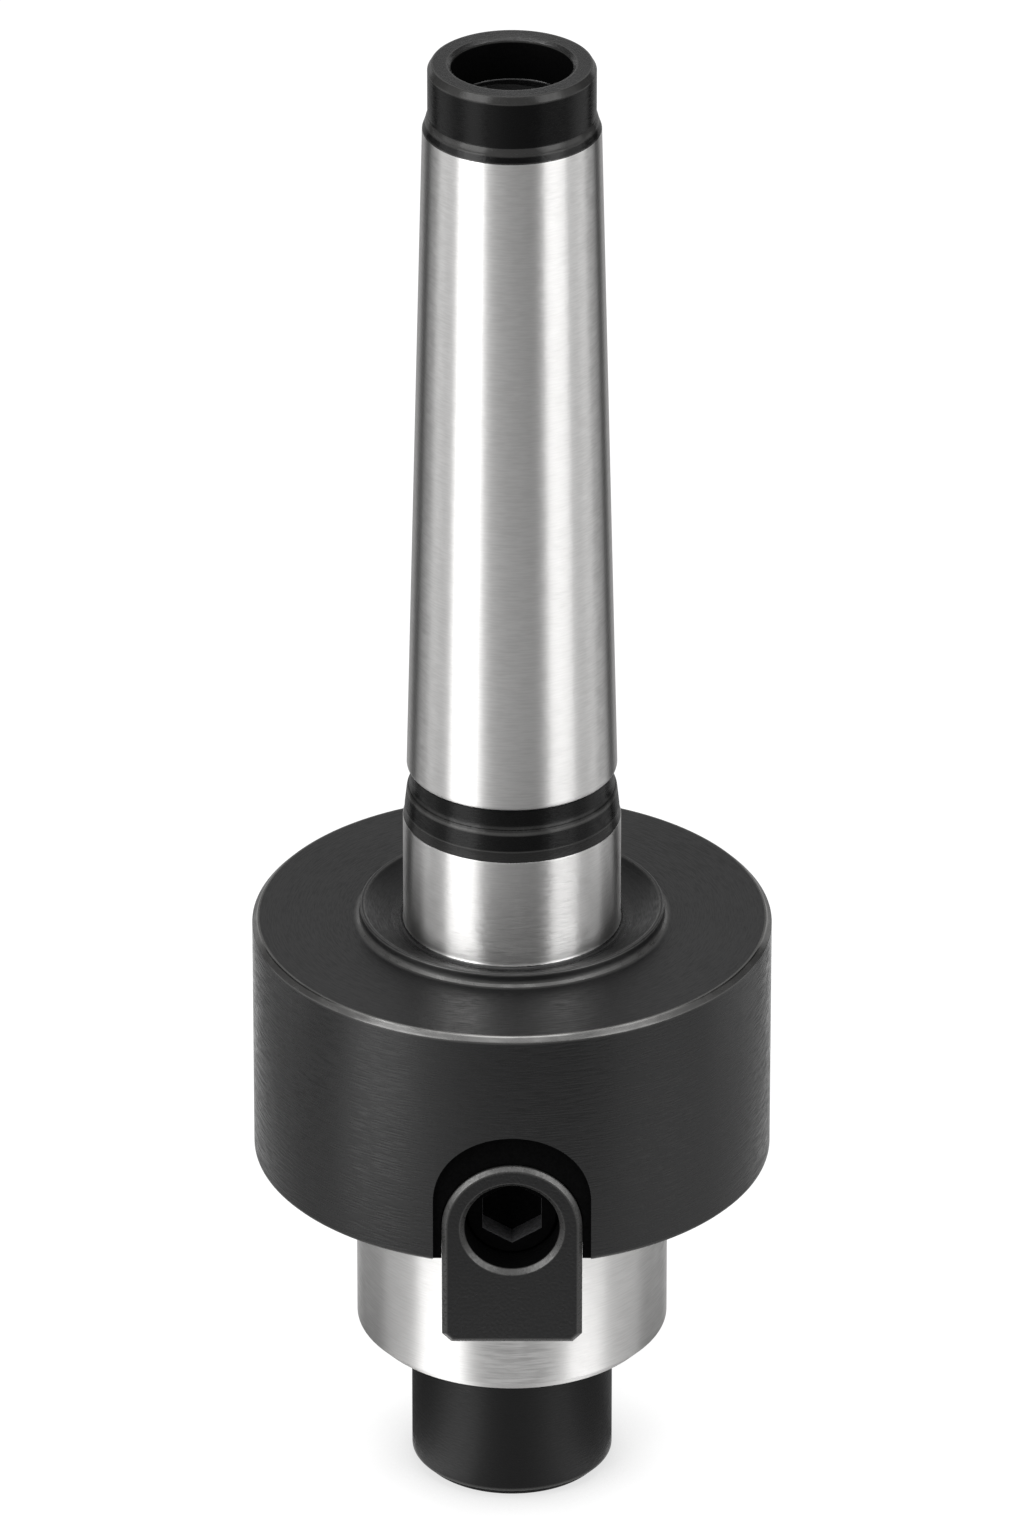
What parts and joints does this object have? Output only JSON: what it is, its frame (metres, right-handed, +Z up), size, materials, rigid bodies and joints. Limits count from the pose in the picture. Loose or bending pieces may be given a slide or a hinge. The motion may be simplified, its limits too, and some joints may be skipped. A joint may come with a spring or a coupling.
{
  "type": "shell mill arbor",
  "caption": "Upright arbor for face and shell mills: Morse taper shank, ground collar, flange with drive keys, ground pilot and the socket screw that clamps the cutter.",
  "frame": {"origin": "on the arbor's axis, at the foot of the cutter screw's head, where the object stands", "axes": "+Z up the axis towards the drawbar end of the Morse taper, -Y towards the front drive key"},
  "size_m": [0.0447, 0.0446, 0.1334],
  "materials": {
    "ground_steel": "fine ground, with black oxide on the flange, neck, black collar and drawbar end",
    "black_oxide": "satin black oxide on steel"
  },
  "bodies": {
    "arbor": {"arbor_body": "ground_steel", "drive_key_front": "black_oxide", "drive_key_back": "black_oxide", "key_screw_front": "black_oxide", "key_screw_back": "black_oxide"},
    "cutter_screw": {"cutter_screw": "black_oxide"}
  },
  "joints": [
    {"name": "cutter_screw_travel", "type": "slide", "parent": "arbor", "child": "cutter_screw", "axis": [0, 0, -1], "range_m": [0, 0.0245]}
  ]
}
